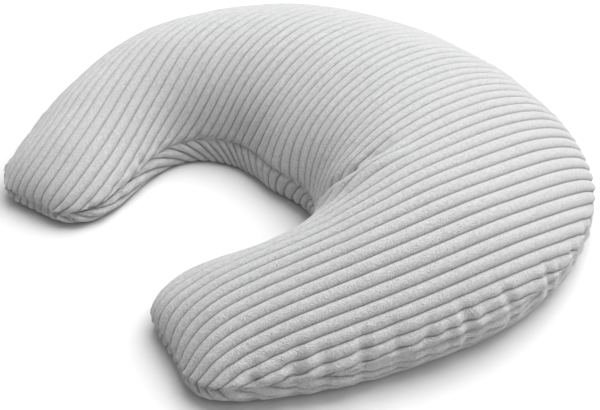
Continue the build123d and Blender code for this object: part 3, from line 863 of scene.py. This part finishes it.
# ---- The zip's coils, the inner case and the filling -----------------------------------
def make_coil(name, side):
    """Nylon loops of one half of the zip, sewn along its tape."""
    low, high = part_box(name)
    base = CHAIN_RADIUS + 0.0003
    end = math.asin(-low.x / (base + 0.002))
    start = -math.asin(high.x / (base + 0.002))
    count = int((end - start) * base / COIL_PITCH)
    round_steps, wire_steps = 14, 5
    points, faces = [], []
    for k in range(count):
        angle = math.pi / 2 + start + (k + 0.5 + 0.25 * side) * COIL_PITCH / base
        outward = np.array([math.cos(angle), math.sin(angle), 0.0])
        onward = np.array([-outward[1], outward[0], 0.0])
        centre = np.array(CROWN) + outward * (base + 0.001)
        centre[2] += side * LOOP_CENTRE
        first = len(points)
        for i in range(round_steps):
            turn = 2 * math.pi * i / round_steps
            spine = outward * math.sin(turn) * LOOP_HIGH
            spine = spine + np.array([0, 0, 1.0]) * math.cos(turn) * LOOP_WIDE
            bulk = spine / np.linalg.norm(spine)
            lean = onward * LOOP_LEAN * math.cos(turn)
            for j in range(wire_steps):
                wrap = 2 * math.pi * j / wire_steps
                wire = bulk * math.cos(wrap) + onward * math.sin(wrap)
                points.append(centre + spine + lean + wire * COIL_WIRE)
        for i in range(round_steps):
            for j in range(wire_steps):
                a, b = i * wire_steps, (i + 1) % round_steps * wire_steps
                c = (j + 1) % wire_steps
                faces.append((first + a + j, first + b + j, first + b + c, first + a + c))
    return new_mesh(name.replace("zip_coil", "coil_loops"), points, faces)


def make_layer(name, table, side, wrinkle, scale, seed):
    """A soft layer inside the cover, with its own wrinkles and room for the zip."""
    table = table[::4, ::3]
    plan = table[..., :2] - np.array([CROWN.x, CROWN.y])
    radius = np.linalg.norm(plan, axis=2)
    angle = np.abs(np.arctan2(plan[..., 0], plan[..., 1]))
    near_zip = ease((ZIP_HALF_ANGLE + 0.10 - angle) / 0.06)
    near_zip = near_zip * np.exp(-(((table[..., 2] - CROWN.z) / 0.016) ** 4))
    near_zip = near_zip * (radius > BEND_RADIUS[0])
    normals = table_normals(table, side)
    drop = wrinkle * (0.5 + 0.5 * noise_field(table, scale, seed)) + 0.0075 * near_zip
    points = (table - normals * drop[..., None]).reshape(-1, 3)
    rows, columns = table.shape[:2]
    index = np.arange(rows * columns).reshape(rows, columns)
    faces = np.stack([index[:-1, :-1], index[1:, :-1], index[1:, 1:], index[:-1, 1:]], 2)
    faces = faces.reshape(-1, 4)
    return new_mesh(name, points, faces if side > 0 else faces[:, ::-1])


def make_overlock(name, table, inset):
    """Seam allowance inside a seam, its edge wrapped in thread loops."""
    rim = np.concatenate([table[2:-2, -1], table[-3, -2:0:-1], table[-3:1:-1, 0], table[2, 1:-1]])
    steps = np.linalg.norm(np.diff(np.concatenate([rim, rim[:1]]), axis=0), axis=1)
    rim = rim[steps > 0.0002]
    lengths = np.concatenate([[0], np.cumsum(np.linalg.norm(np.diff(rim, axis=0), axis=1))])
    at = np.linspace(0, lengths[-1], int(lengths[-1] / LOOP_STEP), endpoint=False)
    line = np.stack([np.interp(at, lengths, rim[:, k]) for k in range(3)], 1)
    course = np.roll(line, -4, 0) - np.roll(line, 4, 0)
    inward = np.stack([course[:, 1], -course[:, 0], 0 * course[:, 0]], 1)
    inward /= np.linalg.norm(inward, axis=1, keepdims=True)
    plan = line - np.array(CROWN)
    angle = np.abs(np.arctan2(plan[:, 0], plan[:, 1]))
    near_zip = (np.linalg.norm(plan[:, :2], axis=1) > BEND_RADIUS[0]) & (
        angle < ZIP_HALF_ANGLE + 0.03
    )
    profile = []
    for turn in np.linspace(0, 2 * math.pi, 10, endpoint=False):
        loops = 1 + 0.22 * np.cos(2 * math.pi * at / (3 * LOOP_STEP) + turn)[:, None]
        out = inward * (inset + 0.0024 + 0.0022 * math.cos(turn))
        profile.append(line + out + np.array([0, 0, 0.0006 * math.sin(turn)]) * loops)
    points = np.stack(profile, 1)
    rows, columns = points.shape[:2]
    index = np.arange(rows * columns).reshape(rows, columns)
    next_row, next_column = np.roll(index, -1, 0), np.roll(index, -1, 1)
    corner = np.roll(next_row, -1, 1)
    faces = np.stack([index, next_row, corner, next_column], 2)
    open_end = near_zip | np.roll(near_zip, -1)
    faces = faces[~open_end].reshape(-1, 4)
    piece = new_mesh(name.replace("seam_overlock", "seam_threads"), points.reshape(-1, 3), faces)
    return drop_loose(piece)


def drop_loose(piece):
    """Delete points that no face uses."""
    mesh = bmesh.new()
    mesh.from_mesh(piece.data)
    loose = [vertex for vertex in mesh.verts if not vertex.link_faces]
    bmesh.ops.delete(mesh, geom=loose, context="VERTS")
    mesh.to_mesh(piece.data)
    mesh.free()
    return piece


def join(name, pieces):
    """One closed piece from two that share their edges."""
    mesh = bmesh.new()
    for piece in pieces:
        mesh.from_mesh(piece.data)
        bpy.data.objects.remove(piece)
    bmesh.ops.remove_doubles(mesh, verts=mesh.verts, dist=0.0004)
    data = bpy.data.meshes.new(name)
    mesh.to_mesh(data)
    mesh.free()
    data.polygons.foreach_set("use_smooth", [True] * len(data.polygons))
    joined = bpy.data.objects.new(name, data)
    bpy.context.scene.collection.objects.link(joined)
    return joined


# ---- Build -----------------------------------------------------------------------------
def add(piece, node, material):
    """Put a finished piece on the pillow in place of its CAD node."""
    dress(piece, material)
    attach(piece, "pillow")
    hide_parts(node)


make_camera()
make_stage()
pillow = Pillow()
settled_top, settled_bottom = settle(pillow)
plush = plush_material()
cotton = woven_material("case_cotton", (0.66, 0.66, 0.64), 1400, 0.0002)
fibre = fibre_material("fibre_filling", (0.72, 0.72, 0.70))
nylon = smooth_material("zip_coil", (0.37, 0.37, 0.38), 0.38, 0.0, 1.0)
tape_cloth = woven_material("zip_tape", (0.37, 0.37, 0.38), 1800, 0.00015, ways=("DIAGONAL", "Z"))
thread = woven_material("overlock_thread", (0.52, 0.52, 0.53), 1600, 0.0001, ways=("DIAGONAL",))
satin = woven_material("label_satin", (0.68, 0.68, 0.69), 2600, 0.00008, 0.35, 0.6, ("Z",))
metal = smooth_material("zip_metal", (0.42, 0.42, 0.44), 0.30, 1.0, 0.08)

soft_top = soften(pillow.top, pillow.top_girth, 1, settled_top)
soft_bottom = soften(pillow.bottom, pillow.bottom_girth, -1, settled_bottom)
soft_bottom[:, 0], soft_bottom[:, -1] = soft_top[:, 0], soft_top[:, -1]
top = make_panel(pillow, "cover_top", pillow.top, pillow.top_girth, 1, soft_top)
bottom = make_panel(pillow, "cover_bottom", pillow.bottom, pillow.bottom_girth, -1, soft_bottom)
add(top, "cover_top_panel", plush)
add(bottom, "cover_bottom_panel", plush)

case, core = Pillow(inset=CASE_INSET), Pillow(inset=FILLING_INSET)
lie_top, lie_bottom = soft_top - pillow.top, soft_bottom - pillow.bottom
case_top = make_layer("case_top", case.top + lie_top, 1, 0.0008, 60, 7)
case_bottom = make_layer("case_bottom", case.bottom + lie_bottom, -1, 0.0004, 60, 8)
add(case_top, "inner_case_top", cotton)
add(case_bottom, "inner_case_bottom", cotton)
stuffing = join(
    "stuffing",
    [
        make_layer("stuffing_top", core.top + lie_top, 1, 0.0016, 45, 9),
        make_layer("stuffing_bottom", core.bottom + lie_bottom, -1, 0.0006, 45, 10),
    ],
)
add(stuffing, "filling", fibre)
for node, line, inset in (
    ("cover_seam_overlock", soft_top, 0.0034), ("inner_case_seam_overlock", soft_top, 0.0078)
):
    add(make_overlock(node, line, inset), node, thread)
for node, side in (("zip_coil_upper", 1), ("zip_coil_lower", -1)):
    add(make_coil(node, side), node, nylon)

for node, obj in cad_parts.items():
    if obj.hide_render:
        continue
    if node in ("zip_slider_body", "zip_pull_tab", "zip_bottom_stop", "zip_top_stops"):
        dress(obj, metal)
    elif node == "care_label":
        dress(obj, satin)
    elif node == "zip_tape_stitching":
        dress(obj, thread)
    else:
        dress(obj, tape_cloth)
